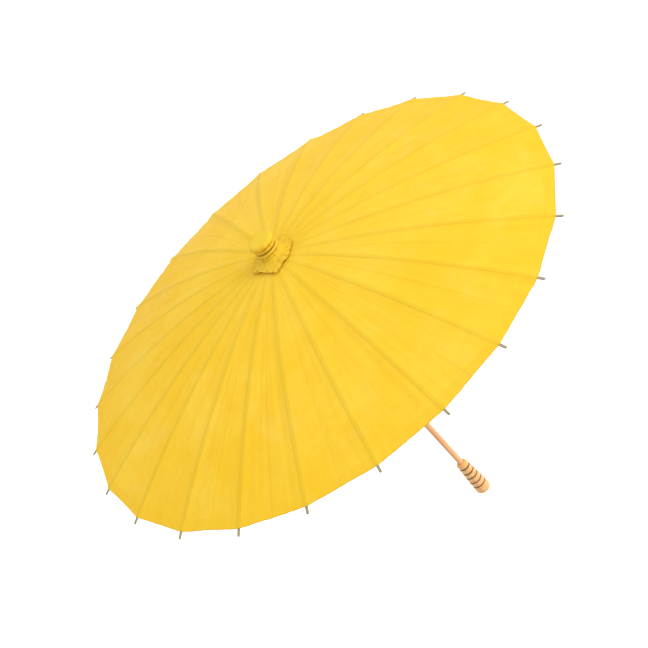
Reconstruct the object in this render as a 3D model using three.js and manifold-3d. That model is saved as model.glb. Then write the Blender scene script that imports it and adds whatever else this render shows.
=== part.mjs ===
// An open oil paper parasol: a turned grip on a wooden shaft, a slotted head and a sliding runner,
// bamboo ribs and stretchers hinged on wire rings, a pleated paper canopy and a paper cap.
// Millimetres, +Z up along the shaft, with the origin at the centre of the grip's flat end.
import * as THREE from 'three';
import { mergeVertices } from 'three/addons/utils/BufferGeometryUtils.js';
import Module from 'manifold-3d';

const wasm = await Module();
wasm.setup();

const RIB_COUNT = 24;
const RIB_PITCH = (2 * Math.PI) / RIB_COUNT;
const TURNED_SIDES = 24; // facets round the head and the runner
const GAP = 0.3; // air left between two pieces that touch on the real object

// Canopy dome: the height of the rib tops falls from the apex with a power of the radius.
const TIP_RADIUS = 406;
const APEX_HEIGHT = 596;
const DOME_RISE = 89;
const DOME_POWER = 1.65;
const PAPER_RADIUS = 397.5;
const PAPER_HOLE_RADIUS = 14;
const PAPER_THICKNESS = 0.5;
const PAPER_RINGS = 12;

// Shaft and grip.
const SHAFT_RADIUS = 5;
const SHAFT_BOTTOM = 20;
const SHAFT_TOP = 602;
const HEAD_TOP = 629;
const GRIP_LENGTH = 76;
const GRIP_FLAT_RADIUS = 10;
const GRIP_END_RADIUS = 13.2;
const GRIP_TOP_RADIUS = 11;
const GRIP_GROOVES = [19, 30.5, 42.5, 54, 66];
const GRIP_GROOVE_DEPTH = 1.1;
const GRIP_GROOVE_HALF_WIDTH = 1.1;

// Ribs: split bamboo, each with an eye on the head's wire and a window for its stretcher.
const RIB_EYE_RADIUS = 2;
const RIB_WIDTH = 4.5;
const RIB_END_WIDTH = 3.9; // 5 mm short of the tip
const RIB_TIP_WIDTH = 3.4;
const RIB_NECK_WIDTH = 2.2;
const RIB_NECK_END = 34; // radius where the rib, folded, is clear of the head's flange
const RIB_DEPTH = 3.2;
const RIB_TIP_DEPTH = 2;
const RIB_KNUCKLE_DEPTH = 4.6;
const RIB_WINDOW_WIDTH = 2.1;
const RIB_WINDOW_INNER = 8;
const RIB_WINDOW_OUTER = 20;
const RIB_STATIONS = 10;

// Head: ribs turn about the head pivot circle.
const HEAD_PIVOT_RADIUS = 15.5;
const HEAD_FLANGE_RADIUS = 18;
const HEAD_CORE_RADIUS = 12.9;
const HEAD_SLOT_WIDTH = 2.7;

// Stretchers: each joins a rib's window to the runner pivot circle.
const JOINT_RADIUS = 150;
const JOINT_BELOW_TOP = 2.4;
const STRETCHER_LENGTH = 160;
const STRETCHER_WIDTH = 3.2;
const STRETCHER_EYE_WIDTH = 2;
const TONGUE_WIDTH = 1.5;
const TONGUE_LENGTH = 17;
const TONGUE_EYE_RADIUS = 1.5;
const STRETCHER_EYE_RADIUS = 1.6;
const STRETCHER_HALF_DEPTH = 1.3;
const STRETCHER_SET = 2.2; // how far the stretcher stands in from the line between its two pivots
const PIN_RADIUS = 0.7;
const PIN_LENGTH = 4;
const PIN_HOLE_RADIUS = 1;

// Runner.
const RUNNER_PIVOT_RADIUS = 14.5;
const RUNNER_FLANGE_RADIUS = 17.2;
const RUNNER_CORE_RADIUS = 11.8;
const RUNNER_SLOT_WIDTH = 2.6;
const RUNNER_BORE_RADIUS = 5.4;
const RUNNER_SLEEVE_RADIUS = 9.4;
const RUNNER_SLEEVE_LENGTH = 52;

// Wire rings that string the ribs to the head and the stretchers to the runner.
const WIRE_RADIUS = 0.5;
const WIRE_HOLE_RADIUS = 0.85;

// Spring catch under the runner, and the stop pin above it.
const CATCH_THICKNESS = 1.6;
const CATCH_SLOT_WIDTH = 2.3;
const CATCH_HEIGHT = 33.5;
const CATCH_STAND_OUT = 8;
const CATCH_PIN_RADIUS = 0.8;
const CATCH_PIN_X = 1.6;
const STOP_PIN_RADIUS = 1;
const STOP_PIN_LENGTH = 15;

// Paper cap over the top of the head.
const CAP_SKIRT_RADIUS = 38;
const CAP_PAPER = 0.6;
const CAP_TURN = Math.PI / 4;

const COLOURS = {
  paper: { color: 0xf6c52e, roughness: 0.55, metalness: 0 },
  capPaper: { color: 0xf2bd27, roughness: 0.6, metalness: 0 },
  bamboo: { color: 0xb9a273, roughness: 0.6, metalness: 0 },
  stretcherBamboo: { color: 0xc9b079, roughness: 0.6, metalness: 0 },
  shaftWood: { color: 0xe2a566, roughness: 0.45, metalness: 0 },
  gripWood: { color: 0xe9b271, roughness: 0.4, metalness: 0 },
  turnedWood: { color: 0xb98a55, roughness: 0.5, metalness: 0 },
  steel: { color: 0xa8a8a4, roughness: 0.35, metalness: 1 },
  thread: { color: 0xd9b45a, roughness: 0.9, metalness: 0 },
};

// Height of the rib tops at a radius from the shaft.
function domeHeight(radius) {
  return APEX_HEIGHT - DOME_RISE * Math.pow(radius / TIP_RADIUS, DOME_POWER);
}

const HEAD_PIVOT = new THREE.Vector2(HEAD_PIVOT_RADIUS, domeHeight(HEAD_PIVOT_RADIUS) - RIB_EYE_RADIUS);
const RIB_JOINT = new THREE.Vector2(JOINT_RADIUS, domeHeight(JOINT_RADIUS) - JOINT_BELOW_TOP);
// Angle between the open stretcher and the shaft.
const STRETCHER_LEAN = Math.asin((RIB_JOINT.x - RUNNER_PIVOT_RADIUS) / STRETCHER_LENGTH);
const RUNNER_PIVOT_HEIGHT = RIB_JOINT.y - STRETCHER_LENGTH * Math.cos(STRETCHER_LEAN);
const RUNNER_TOP = RUNNER_PIVOT_HEIGHT + 4;
const RUNNER_BOTTOM = RUNNER_PIVOT_HEIGHT - RUNNER_SLEEVE_LENGTH;

// Solids.

function closedGeometry(geometry) {
  const bare = geometry.clone();
  bare.deleteAttribute('normal');
  bare.deleteAttribute('uv');
  return mergeVertices(bare, 1e-4);
}

function toSolid(geometry) {
  const merged = closedGeometry(geometry);
  return new wasm.Manifold(new wasm.Mesh({
    numProp: 3,
    vertProperties: new Float32Array(merged.attributes.position.array),
    triVerts: new Uint32Array(merged.index.array),
  }));
}

function toGeometry(solid) {
  const mesh = solid.getMesh();
  const geometry = new THREE.BufferGeometry();
  geometry.setAttribute('position', new THREE.BufferAttribute(mesh.vertProperties, 3));
  geometry.setIndex(new THREE.BufferAttribute(mesh.triVerts, 1));
  geometry.computeVertexNormals();
  return geometry;
}

function points(pairs) {
  return pairs.map(([x, y]) => new THREE.Vector2(x, y));
}

function roundOutline(x, y, radius, sides) {
  return Array.from({ length: sides }, (_, i) => {
    const turn = (2 * Math.PI * i) / sides;
    return new THREE.Vector2(x + radius * Math.cos(turn), y + radius * Math.sin(turn));
  });
}

// A side outline (x, z) with round holes, extruded to a width along Y and centred on it.
function sidePlate(outline, width, holes = []) {
  const shape = new THREE.Shape(outline);
  for (const hole of holes) {
    shape.holes.push(new THREE.Path(hole));
  }
  const geometry = new THREE.ExtrudeGeometry(shape, { depth: width, bevelEnabled: false });
  geometry.rotateX(Math.PI / 2);
  geometry.translate(0, width / 2, 0);
  return toSolid(geometry);
}

// A strip seen from above: half widths along X, extruded between two heights.
function planPlate(halfWidths, bottom, top) {
  const upper = points(halfWidths);
  const lower = points(halfWidths.map(([x, half]) => [x, -half])).reverse();
  const shape = new THREE.Shape([...upper, ...lower]);
  const geometry = new THREE.ExtrudeGeometry(shape, { depth: top - bottom, bevelEnabled: false });
  geometry.translate(0, 0, bottom);
  return toSolid(geometry);
}

// A body turned about Z from (radius, height) pairs that run up its outside.
function turned(pairs, segments) {
  const geometry = new THREE.LatheGeometry(points(pairs), segments);
  geometry.rotateX(Math.PI / 2);
  return geometry;
}

function boxSolid(lengthX, widthY, heightZ, x, y, z) {
  const geometry = new THREE.BoxGeometry(lengthX, widthY, heightZ);
  geometry.translate(x, y, z);
  return toSolid(geometry);
}

function crossPinGeometry(radius, length, x, z, sides) {
  const geometry = new THREE.CylinderGeometry(radius, radius, length, sides);
  geometry.translate(x, 0, z);
  return geometry;
}

// Points of an arc about a centre, angles in radians.
function arcPoints(cx, cy, radius, start, end, steps) {
  return Array.from({ length: steps + 1 }, (_, i) => {
    const angle = start + ((end - start) * i) / steps;
    return new THREE.Vector2(cx + radius * Math.cos(angle), cy + radius * Math.sin(angle));
  });
}

// Ribs and stretchers.

function ribDepth(radius) {
  const knuckle = Math.abs(radius - JOINT_RADIUS);
  const knuckleShare = THREE.MathUtils.clamp((46 - knuckle) / 22, 0, 1);
  const towardsTip = THREE.MathUtils.clamp((radius - 200) / (TIP_RADIUS - 200), 0, 1);
  const plain = THREE.MathUtils.lerp(RIB_DEPTH, RIB_TIP_DEPTH, towardsTip);
  const eyeShare = THREE.MathUtils.clamp((40 - radius) / 20, 0, 1);
  const nearEye = THREE.MathUtils.lerp(plain, 2 * RIB_EYE_RADIUS, eyeShare);
  return THREE.MathUtils.lerp(nearEye, RIB_KNUCKLE_DEPTH, knuckleShare);
}

function ribStations() {
  const first = HEAD_PIVOT_RADIUS;
  const stations = Array.from({ length: RIB_STATIONS }, (_, i) => (
    first + ((TIP_RADIUS - first) * i) / (RIB_STATIONS - 1)
  ));
  stations[1] = 40;
  return stations;
}

function ribSolid() {
  const stations = ribStations();
  const top = stations.map((r) => new THREE.Vector2(r, domeHeight(r)));
  const under = stations.map((r) => new THREE.Vector2(r, domeHeight(r) - ribDepth(r))).reverse();
  const eye = arcPoints(HEAD_PIVOT.x, HEAD_PIVOT.y, RIB_EYE_RADIUS, 1.5 * Math.PI, 0.5 * Math.PI, 3);
  const outline = [...top, ...under, ...eye.slice(1, -1)];
  const holes = [
    roundOutline(HEAD_PIVOT.x, HEAD_PIVOT.y, WIRE_HOLE_RADIUS, 6),
    roundOutline(RIB_JOINT.x, RIB_JOINT.y, PIN_HOLE_RADIUS, 6),
  ];
  const side = sidePlate(outline, RIB_WIDTH + 2, holes);
  const half = RIB_WIDTH / 2;
  const neck = RIB_NECK_WIDTH / 2;
  const plan = planPlate([
    [HEAD_PIVOT_RADIUS - 3, neck],
    [RIB_NECK_END, neck],
    [RIB_NECK_END + 10, neck + 0.5],
    [66, half],
    [340, half],
    [TIP_RADIUS - 5, RIB_END_WIDTH / 2],
    [TIP_RADIUS, RIB_TIP_WIDTH / 2],
  ], APEX_HEIGHT - DOME_RISE - 10, APEX_HEIGHT + 10);
  const windowLength = RIB_WINDOW_INNER + RIB_WINDOW_OUTER;
  const window = boxSolid(
    windowLength, RIB_WINDOW_WIDTH, 30,
    RIB_JOINT.x + RIB_WINDOW_OUTER - windowLength / 2, 0, RIB_JOINT.y,
  );
  return side.intersect(plan).subtract(window);
}

// Drawn with its lower pivot at the origin and its upper pivot along +X; +Z faces the shaft when folded.
function stretcherSolid() {
  const length = STRETCHER_LENGTH;
  const half = STRETCHER_HALF_DEPTH;
  const shoulder = length - TONGUE_LENGTH;
  const upper = points([
    [14, 1.5],
    [60, STRETCHER_SET * 0.8 + half],
    [shoulder, STRETCHER_SET + half],
    [length - 8, STRETCHER_SET + 0.3],
  ]);
  const lower = points([
    [length - 8, -0.9],
    [shoulder, STRETCHER_SET - half],
    [60, STRETCHER_SET * 0.8 - half],
    [14, -1.4],
  ]);
  const outline = [
    ...upper,
    ...arcPoints(length, 0, TONGUE_EYE_RADIUS, 0.5 * Math.PI, -0.5 * Math.PI, 3),
    ...lower,
    ...arcPoints(0, 0, STRETCHER_EYE_RADIUS, 1.5 * Math.PI, 0.5 * Math.PI, 3),
  ];
  const side = sidePlate(outline, STRETCHER_WIDTH + 2, [roundOutline(0, 0, WIRE_HOLE_RADIUS, 6)]);
  const plan = planPlate([
    [-3, STRETCHER_EYE_WIDTH / 2],
    [13, STRETCHER_EYE_WIDTH / 2],
    [22, STRETCHER_WIDTH / 2],
    [shoulder - 2, STRETCHER_WIDTH / 2],
    [shoulder, TONGUE_WIDTH / 2],
    [length + 3, TONGUE_WIDTH / 2],
  ], -10, 10);
  const pin = toSolid(crossPinGeometry(PIN_RADIUS, PIN_LENGTH, length, 0, 6));
  return side.intersect(plan).add(pin);
}

// Slots that run right down through a flange, one for each rib or stretcher.
function cutSlots(body, innerRadius, outerRadius, width, bottom, top) {
  const length = outerRadius - innerRadius;
  let cut = body;
  for (let i = 0; i < RIB_COUNT; i += 1) {
    const geometry = new THREE.BoxGeometry(length, width, top - bottom);
    geometry.translate(innerRadius + length / 2, 0, (top + bottom) / 2);
    geometry.rotateZ(i * RIB_PITCH);
    cut = cut.subtract(toSolid(geometry));
  }
  return cut;
}

// Head and runner.

function headSolid() {
  const ledge = HEAD_PIVOT.y - WIRE_RADIUS - GAP;
  const flangeTop = HEAD_PIVOT.y + 1.2;
  const body = turned([
    [0, SHAFT_TOP + GAP],
    [SHAFT_RADIUS + GAP, SHAFT_TOP + GAP],
    [SHAFT_RADIUS + GAP, 572],
    [9, 572],
    [11.5, 574],
    [11.5, 578],
    [HEAD_FLANGE_RADIUS - 1, 580],
    [HEAD_FLANGE_RADIUS, 582],
    [HEAD_FLANGE_RADIUS, ledge],
    [HEAD_PIVOT_RADIUS - WIRE_RADIUS - GAP, ledge],
    [HEAD_PIVOT_RADIUS - WIRE_RADIUS - GAP, flangeTop],
    [11.5, flangeTop],
    [11.5, 598.5],
    [15, 601],
    [15, 620],
    [18, 623],
    [18, 627.5],
    [16.5, HEAD_TOP],
    [0, HEAD_TOP],
  ], TURNED_SIDES);
  return cutSlots(toSolid(body), HEAD_CORE_RADIUS, HEAD_FLANGE_RADIUS + 2, HEAD_SLOT_WIDTH, 577, 597);
}

function runnerSolid() {
  const ledge = RUNNER_PIVOT_HEIGHT - WIRE_RADIUS - GAP;
  const flangeBottom = RUNNER_PIVOT_HEIGHT - 6;
  const body = turned([
    [RUNNER_BORE_RADIUS, RUNNER_BOTTOM],
    [RUNNER_SLEEVE_RADIUS, RUNNER_BOTTOM],
    [RUNNER_SLEEVE_RADIUS, RUNNER_BOTTOM + 4],
    [RUNNER_SLEEVE_RADIUS - 1.2, RUNNER_BOTTOM + 6],
    [RUNNER_SLEEVE_RADIUS - 1.2, flangeBottom - 8],
    [RUNNER_CORE_RADIUS - 0.8, flangeBottom - 3],
    [RUNNER_FLANGE_RADIUS - 1, flangeBottom],
    [RUNNER_FLANGE_RADIUS, flangeBottom + 1.5],
    [RUNNER_FLANGE_RADIUS, ledge],
    [RUNNER_PIVOT_RADIUS - WIRE_RADIUS - GAP, ledge],
    [RUNNER_PIVOT_RADIUS - WIRE_RADIUS - GAP, RUNNER_PIVOT_HEIGHT + 1.6],
    [RUNNER_CORE_RADIUS - 1, RUNNER_TOP],
    [RUNNER_BORE_RADIUS, RUNNER_TOP],
    [RUNNER_BORE_RADIUS, RUNNER_BOTTOM],
  ], TURNED_SIDES);
  return cutSlots(
    toSolid(body), RUNNER_CORE_RADIUS, RUNNER_FLANGE_RADIUS + 2, RUNNER_SLOT_WIDTH,
    flangeBottom - 2, RUNNER_TOP + 1,
  );
}

// A wire ring with its corners between the ribs, so that it runs straight through each eye.
function wireRing(pivotRadius, height) {
  const cornerRadius = pivotRadius / Math.cos(RIB_PITCH / 2);
  const geometry = new THREE.TorusGeometry(cornerRadius, WIRE_RADIUS, 6, RIB_COUNT);
  geometry.rotateZ(RIB_PITCH / 2);
  geometry.translate(0, 0, height);
  return closedGeometry(geometry);
}

// Shaft, grip, catch and stop pin. The catch is drawn facing +X.

const CATCH_TOP = RUNNER_BOTTOM - GAP;
const CATCH_BOTTOM = CATCH_TOP - CATCH_HEIGHT;
const CATCH_PIN_HEIGHT = CATCH_BOTTOM + 3.6;
const STOP_PIN_HEIGHT = RUNNER_TOP + GAP + STOP_PIN_RADIUS;
const CATCH_TURN = -Math.PI / 2;

function shaftSolid() {
  const body = toSolid(turned([
    [0, SHAFT_BOTTOM],
    [SHAFT_RADIUS - 0.8, SHAFT_BOTTOM],
    [SHAFT_RADIUS, SHAFT_BOTTOM + 0.8],
    [SHAFT_RADIUS, SHAFT_TOP - 0.8],
    [SHAFT_RADIUS - 0.8, SHAFT_TOP],
    [0, SHAFT_TOP],
  ], 20));
  const slotHeight = CATCH_HEIGHT + 2;
  const slot = boxSolid(
    8, CATCH_SLOT_WIDTH, slotHeight,
    2.3, 0, CATCH_BOTTOM - 1 + slotHeight / 2,
  );
  const pinHole = toSolid(crossPinGeometry(CATCH_PIN_RADIUS + GAP, 14, CATCH_PIN_X, CATCH_PIN_HEIGHT, 10));
  const stopHole = toSolid(crossPinGeometry(STOP_PIN_RADIUS + GAP, 14, 0, STOP_PIN_HEIGHT, 10));
  return body.subtract(slot).subtract(pinHole).subtract(stopHole);
}

function catchSolid() {
  const outline = points([
    [-0.9, CATCH_BOTTOM],
    [3.2, CATCH_BOTTOM],
    [4.4, CATCH_BOTTOM + 3],
    [4.4, CATCH_BOTTOM + 9],
    [CATCH_STAND_OUT, CATCH_TOP - 3],
    [CATCH_STAND_OUT, CATCH_TOP],
    [CATCH_STAND_OUT - 3.8, CATCH_TOP],
    [0.9, CATCH_BOTTOM + 10],
    [-0.9, CATCH_BOTTOM + 6],
  ]);
  return sidePlate(outline, CATCH_THICKNESS, [
    roundOutline(CATCH_PIN_X, CATCH_PIN_HEIGHT, CATCH_PIN_RADIUS + GAP, 10),
  ]);
}

function gripRadius(height) {
  const share = height / GRIP_GROOVES[GRIP_GROOVES.length - 1];
  return THREE.MathUtils.lerp(GRIP_END_RADIUS, GRIP_TOP_RADIUS, Math.pow(share, 1.2));
}

function gripGeometry() {
  const outside = [
    [0, 0],
    [GRIP_FLAT_RADIUS, 0],
    [12, 1.2],
    [GRIP_END_RADIUS, 4],
    [GRIP_END_RADIUS, 9],
  ];
  for (const height of GRIP_GROOVES) {
    const radius = gripRadius(height);
    outside.push([radius, height - GRIP_GROOVE_HALF_WIDTH]);
    outside.push([radius - GRIP_GROOVE_DEPTH, height]);
    outside.push([radius, height + GRIP_GROOVE_HALF_WIDTH]);
  }
  outside.push([10.7, 70.5], [9.6, 73.6], [7.8, 75.4], [6, GRIP_LENGTH]);
  return closedGeometry(turned([
    ...outside,
    [SHAFT_RADIUS + GAP, GRIP_LENGTH],
    [SHAFT_RADIUS + GAP, SHAFT_BOTTOM - GAP],
    [0, SHAFT_BOTTOM - GAP],
  ], 20));
}

// Canopy: one sheet with flat gores between the ribs, and the folded paper cap above it.

function canopyGeometry() {
  const radii = Array.from({ length: PAPER_RINGS + 1 }, (_, i) => (
    PAPER_HOLE_RADIUS + ((PAPER_RADIUS - PAPER_HOLE_RADIUS) * i) / PAPER_RINGS
  ));
  const under = radii.map((r) => [r, domeHeight(r) + GAP]);
  const top = radii.map((r) => [r, domeHeight(r) + GAP + PAPER_THICKNESS]).reverse();
  return closedGeometry(turned([...under, ...top, under[0]], RIB_COUNT));
}

function capSolid() {
  const over = GAP + PAPER_THICKNESS + GAP;
  const skirt = [22, 30, CAP_SKIRT_RADIUS + 4].map((r) => [r, domeHeight(r) + over]);
  const inside = [
    [0, HEAD_TOP + GAP],
    [16.6, HEAD_TOP + GAP],
    [18.3, 627.6],
    [18.3, 622.8],
    [15.3, 619.8],
    [15.3, 610],
    [17, 607.5],
    [16, 603.5],
    ...skirt,
  ];
  const outside = [
    ...skirt.map(([r, z]) => [r, z + CAP_PAPER]).reverse(),
    [17, 604.2],
    [18.2, 607.8],
    [16.2, 611],
    [16.2, 619.4],
    [19.1, 622.4],
    [19.1, 628],
    [17.2, HEAD_TOP + GAP + CAP_PAPER],
    [0, HEAD_TOP + GAP + CAP_PAPER],
  ];
  const body = toSolid(turned([...inside, ...outside], RIB_COUNT));
  const hexagon = new THREE.CylinderGeometry(CAP_SKIRT_RADIUS, CAP_SKIRT_RADIUS, 80, 6);
  hexagon.rotateX(Math.PI / 2);
  hexagon.rotateZ(CAP_TURN - Math.PI / 2);
  hexagon.translate(0, 0, 610);
  return body.intersect(toSolid(hexagon));
}

function capTieGeometry() {
  const geometry = new THREE.TorusGeometry(17.1, 0.6, 6, RIB_COUNT);
  geometry.translate(0, 0, 615);
  return closedGeometry(geometry);
}

// Assembly.

function node(name, geometry, look) {
  const mesh = new THREE.Mesh(geometry, new THREE.MeshStandardMaterial(look));
  mesh.name = name;
  return mesh;
}

const umbrella = new THREE.Group();
umbrella.add(node('grip', gripGeometry(), COLOURS.gripWood));
umbrella.add(node('head', toGeometry(headSolid()), COLOURS.turnedWood));
umbrella.add(node('head_wire', wireRing(HEAD_PIVOT_RADIUS, HEAD_PIVOT.y), COLOURS.steel));
umbrella.add(node('runner', toGeometry(runnerSolid()), COLOURS.turnedWood));
umbrella.add(node('runner_wire', wireRing(RUNNER_PIVOT_RADIUS, RUNNER_PIVOT_HEIGHT), COLOURS.steel));
umbrella.add(node('canopy', canopyGeometry(), COLOURS.paper));
umbrella.add(node('cap', toGeometry(capSolid()), COLOURS.capPaper));
umbrella.add(node('cap_tie', capTieGeometry(), COLOURS.thread));

const catchSide = new THREE.Group();
catchSide.rotation.z = CATCH_TURN;
catchSide.add(node('shaft', toGeometry(shaftSolid()), COLOURS.shaftWood));
catchSide.add(node('catch', toGeometry(catchSolid()), COLOURS.steel));
const catchPin = crossPinGeometry(CATCH_PIN_RADIUS, 8.8, CATCH_PIN_X, CATCH_PIN_HEIGHT, 10);
catchSide.add(node('catch_pin', closedGeometry(catchPin), COLOURS.steel));
const stopPin = crossPinGeometry(STOP_PIN_RADIUS, STOP_PIN_LENGTH, 0, STOP_PIN_HEIGHT, 10);
catchSide.add(node('stop_pin', closedGeometry(stopPin), COLOURS.steel));
umbrella.add(catchSide);

const rib = toGeometry(ribSolid());
const stretcher = toGeometry(stretcherSolid());
for (let i = 0; i < RIB_COUNT; i += 1) {
  const number = String(i + 1).padStart(2, '0');
  const spoke = new THREE.Group();
  spoke.rotation.z = i * RIB_PITCH;
  spoke.add(node(`rib_${number}`, rib, COLOURS.bamboo));
  const strut = node(`stretcher_${number}`, stretcher, COLOURS.stretcherBamboo);
  strut.position.set(RUNNER_PIVOT_RADIUS, 0, RUNNER_PIVOT_HEIGHT);
  strut.rotation.y = STRETCHER_LEAN - Math.PI / 2;
  spoke.add(strut);
  umbrella.add(spoke);
}

export default umbrella;
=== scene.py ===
"""An open oil paper parasol: pleated paper on bamboo ribs, a gathered paper cap and a turned wooden grip."""

import math

import bmesh
import bpy
import numpy as np
from mathutils import Matrix, Vector, noise


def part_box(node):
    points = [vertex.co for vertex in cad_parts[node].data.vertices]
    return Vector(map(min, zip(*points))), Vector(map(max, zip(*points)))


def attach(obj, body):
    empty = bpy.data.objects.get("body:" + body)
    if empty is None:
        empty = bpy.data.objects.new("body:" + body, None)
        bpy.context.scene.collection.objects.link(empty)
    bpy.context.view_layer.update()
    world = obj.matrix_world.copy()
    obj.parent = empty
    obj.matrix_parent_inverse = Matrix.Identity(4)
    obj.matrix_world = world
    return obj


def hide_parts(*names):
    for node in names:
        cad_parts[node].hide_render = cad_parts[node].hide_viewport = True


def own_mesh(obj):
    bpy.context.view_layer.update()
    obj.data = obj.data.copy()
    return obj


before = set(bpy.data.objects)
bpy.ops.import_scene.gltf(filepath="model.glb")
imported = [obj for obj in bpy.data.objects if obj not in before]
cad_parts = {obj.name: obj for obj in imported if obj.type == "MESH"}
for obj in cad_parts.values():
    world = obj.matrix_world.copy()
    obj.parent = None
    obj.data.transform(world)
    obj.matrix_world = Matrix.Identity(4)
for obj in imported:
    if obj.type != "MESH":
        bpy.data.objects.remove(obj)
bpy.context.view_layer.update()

# Lengths are in millimetres up to the point where a mesh is made.
MM = 0.001
RIB_COUNT = 24
RIB_STEP = 2 * math.pi / RIB_COUNT

APEX_HEIGHT = 596
DOME_RISE = 89
DOME_POWER = 1.65
TIP_RADIUS = 406
PAPER_RADIUS = 397.5
PAPER_HOLE_RADIUS = 14

HEAD_PIVOT_RADIUS = 15.5
RUNNER_PIVOT_RADIUS = 14.5
RIB_EYE_RADIUS = 2
JOINT_RADIUS = 150
JOINT_BELOW_TOP = 2.4
STRETCHER_LENGTH = 160


def dome(radius):
    """Height of the rib tops at a radius from the shaft."""
    return APEX_HEIGHT - DOME_RISE * (np.asarray(radius, float) / TIP_RADIUS) ** DOME_POWER


HEAD_PIVOT_HEIGHT = float(dome(HEAD_PIVOT_RADIUS)) - RIB_EYE_RADIUS
JOINT_HEIGHT = float(dome(JOINT_RADIUS)) - JOINT_BELOW_TOP
STRETCHER_LEAN = math.asin((JOINT_RADIUS - RUNNER_PIVOT_RADIUS) / STRETCHER_LENGTH)
RUNNER_PIVOT_HEIGHT = JOINT_HEIGHT - STRETCHER_LENGTH * math.cos(STRETCHER_LEAN)
RUNNER_TOP = RUNNER_PIVOT_HEIGHT + 4
RUNNER_BOTTOM = RUNNER_PIVOT_HEIGHT - 52


# ---------------------------------------------------------------- materials


class Look:
    """A node material, built by small calls that return sockets."""

    def __init__(self, name):
        self.material = bpy.data.materials.new(name)
        self.material.use_nodes = True
        self.tree = self.material.node_tree
        self.tree.nodes.clear()

    def node(self, kind, settings=None, **inputs):
        made = self.tree.nodes.new(kind)
        for key, value in (settings or {}).items():
            setattr(made, key, value)
        for key, value in inputs.items():
            self.feed(made.inputs[key.replace("_", " ")], value)
        return made

    def feed(self, socket, value):
        if isinstance(value, bpy.types.NodeSocket):
            self.tree.links.new(value, socket)
        else:
            socket.default_value = value

    def value(self, name):
        """A number stored on the mesh's points, 0 where the mesh has none."""
        return self.node("ShaderNodeAttribute", {"attribute_name": name}).outputs["Fac"]

    def place(self, scale=(1, 1, 1)):
        """Where a point is on the object, in metres times scale."""
        place = self.node("ShaderNodeTexCoord").outputs["Object"]
        mapping = self.node("ShaderNodeMapping", Vector=place, Scale=scale)
        return mapping.outputs["Vector"]

    def noise(self, where, scale, detail=3.0, roughness=0.55, distortion=0.0):
        made = self.node(
            "ShaderNodeTexNoise", None, Vector=where, Scale=scale,
            Detail=detail, Roughness=roughness, Distortion=distortion,
        )
        return made.outputs["Fac"]

    def math(self, operation, a, b=0.0):
        made = self.node("ShaderNodeMath", {"operation": operation})
        self.feed(made.inputs[0], a)
        self.feed(made.inputs[1], b)
        return made.outputs[0]

    def ramp(self, value, low, high, to_low=0.0, to_high=1.0):
        """A smooth change from to_low, where value is low, to to_high, where it is high."""
        made = self.node(
            "ShaderNodeMapRange", {"interpolation_type": "SMOOTHSTEP"},
            Value=value, From_Min=low, From_Max=high, To_Min=to_low, To_Max=to_high,
        )
        return made.outputs[0]

    def line(self, value, centre, half_width):
        """1 on a line where value is centre, falling to 0 at half_width away."""
        away = self.math("ABSOLUTE", self.math("SUBTRACT", value, centre))
        return self.ramp(away, 0.0, half_width, 1.0, 0.0)

    def mix(self, share, a, b):
        """Colour a with a share of colour b over it."""
        made = self.node("ShaderNodeMix", {"data_type": "RGBA"})
        self.feed(made.inputs[0], share)
        self.feed(made.inputs[6], a)
        self.feed(made.inputs[7], b)
        return made.outputs[2]

    def bump(self, height, distance, strength=1.0, normal=None):
        made = self.node("ShaderNodeBump", None, Height=height, Distance=distance, Strength=strength)
        if normal is not None:
            self.feed(made.inputs["Normal"], normal)
        return made.outputs["Normal"]

    def principled(self, **inputs):
        return self.node("ShaderNodeBsdfPrincipled", None, **inputs)

    def finish(self, shader):
        output = self.node("ShaderNodeOutputMaterial")
        self.tree.links.new(shader, output.inputs["Surface"])
        return self.material


def rgb(red, green, blue):
    """A linear colour from display values of 0 to 255."""
    shares = (red / 255, green / 255, blue / 255)
    return tuple(s / 12.92 if s <= 0.04045 else ((s + 0.055) / 1.055) ** 2.4 for s in shares) + (1.0,)


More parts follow.
